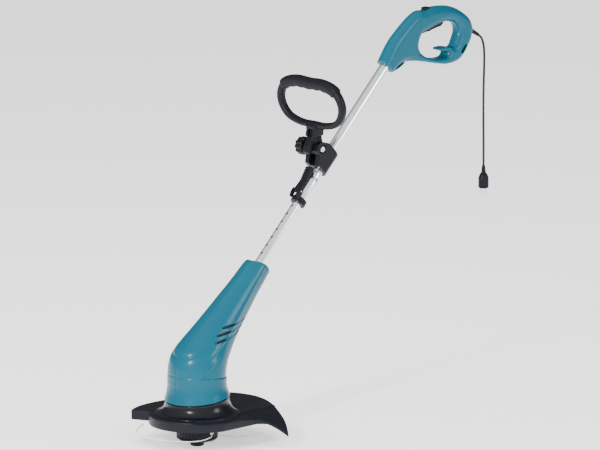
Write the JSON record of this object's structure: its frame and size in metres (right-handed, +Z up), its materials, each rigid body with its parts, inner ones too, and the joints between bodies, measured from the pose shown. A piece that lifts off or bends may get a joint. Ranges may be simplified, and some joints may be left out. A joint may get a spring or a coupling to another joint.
{
  "type": "string trimmer",
  "caption": "Corded grass trimmer: motor head with guard and bump-feed spool, telescopic tube shaft with lever lock, clamped loop handle and closed rear handle with trigger.",
  "frame": {"origin": "middle of the bump knob's flat underside, where the head touches the ground", "axes": "+Z up along the spool axis, +X towards the user and the rear handle, +Y towards the clamp knob side"},
  "size_m": [0.9453, 0.2843, 0.82],
  "materials": {
    "teal_plastic": "semi-gloss moulded teal plastic",
    "black_plastic": "fine satin black plastic",
    "guard_plastic": "satin dark grey-black plastic",
    "soft_rubber": "matt soft black rubber",
    "cord_sheath": "matt black cable sheath",
    "bright_aluminium": "bright drawn aluminium",
    "zinc_steel": "bright zinc plated",
    "spring_steel": "plain spring steel",
    "wound_copper": "lacquered copper windings",
    "motor_iron": "laminated motor iron",
    "bronze": "sintered bronze",
    "carbon": "pressed carbon",
    "nylon_line": "clear white nylon",
    "white_plastic": "off-white nylon"
  },
  "bodies": {
    "motor_head": {"motor_housing_left": "teal_plastic", "motor_housing_right": "teal_plastic", "flared_collar": "black_plastic", "guard": "guard_plastic", "line_cutter_blade": "zinc_steel", "guard_screw_1": "zinc_steel", "guard_screw_2": "zinc_steel", "guard_screw_3": "zinc_steel", "motor_bracket": "black_plastic", "lower_bearing": "zinc_steel", "motor_stator": "motor_iron", "upper_bearing": "bronze", "brush_carrier": "black_plastic", "carbon_brush_1": "carbon", "carbon_brush_2": "carbon", "lower_tube": "bright_aluminium", "tube_holder": "black_plastic"},
    "spool_head": {"motor_armature": "wound_copper", "cooling_fan": "white_plastic", "spool_housing": "black_plastic", "spool_cover": "black_plastic", "bump_spring": "spring_steel", "cutting_line_left": "nylon_line", "cutting_line_right": "nylon_line"},
    "bump_feed": {"bump_knob": "black_plastic", "line_reel": "white_plastic", "wound_line": "nylon_line"},
    "upper_shaft": {"upper_tube": "bright_aluminium", "lock_sleeve": "bright_aluminium", "lock_ring": "black_plastic", "lever_pin": "zinc_steel", "rear_handle_left": "teal_plastic", "rear_handle_right": "teal_plastic", "handle_screw_1": "zinc_steel", "handle_screw_2": "zinc_steel", "handle_screw_3": "zinc_steel", "handle_screw_4": "zinc_steel", "trigger_pin": "zinc_steel", "power_switch": "black_plastic", "strain_relief": "soft_rubber", "power_cord": "cord_sheath", "power_plug": "black_plastic"},
    "lock_lever": {"lock_lever": "black_plastic"},
    "handle_clamp": {"clamp_half_left": "black_plastic", "clamp_half_right": "black_plastic", "clamp_bolt": "zinc_steel"},
    "clamp_knob": {"clamp_knob": "black_plastic"},
    "loop_handle": {"front_handle": "black_plastic", "handle_grip": "soft_rubber"},
    "trigger": {"trigger": "black_plastic"},
    "lock_off_button": {"lock_off_button": "black_plastic"}
  },
  "joints": [
    {"name": "spool_spin", "type": "hinge", "parent": "motor_head", "child": "spool_head", "pos_m": [0, 0, 0.05], "axis": [0, 0, 1], "continuous": true},
    {"name": "bump_press", "type": "slide", "parent": "spool_head", "child": "bump_feed", "axis": [0, 0, 1], "range_m": [0, 0.004], "stiffness_N_per_m": 600, "springref_m": -0.006},
    {"name": "tube_slide", "type": "slide", "parent": "motor_head", "child": "upper_shaft", "axis": [0.7145, 0, 0.6997], "range_m": [-0.1, 0.06]},
    {"name": "lever_flip", "type": "hinge", "parent": "upper_shaft", "child": "lock_lever", "pos_m": [0.28894, 0, 0.48824], "axis": [0, -1, 0], "range_deg": [0, 75]},
    {"name": "clamp_slide", "type": "slide", "parent": "upper_shaft", "child": "handle_clamp", "axis": [0.7145, 0, 0.6997], "range_m": [-0.004, 0.16]},
    {"name": "knob_turn", "type": "hinge", "parent": "handle_clamp", "child": "clamp_knob", "pos_m": [0.34303, 0.036, 0.56949], "axis": [0, 1, 0], "range_deg": [0, 360]},
    {"name": "handle_tilt", "type": "hinge", "parent": "handle_clamp", "child": "loop_handle", "pos_m": [0.34303, 0, 0.56949], "axis": [0, 1, 0], "range_deg": [-35, 25]},
    {"name": "trigger_pull", "type": "hinge", "parent": "upper_shaft", "child": "trigger", "pos_m": [0.656, 0, 0.781], "axis": [0, -1, 0], "range_deg": [0, 7], "stiffness_Nm_per_rad": 0.6, "springref_deg": -6.88},
    {"name": "lock_off_press", "type": "slide", "parent": "upper_shaft", "child": "lock_off_button", "axis": [0, 0, -1], "range_m": [0, 0.003], "stiffness_N_per_m": 300, "springref_m": -0.002}
  ]
}
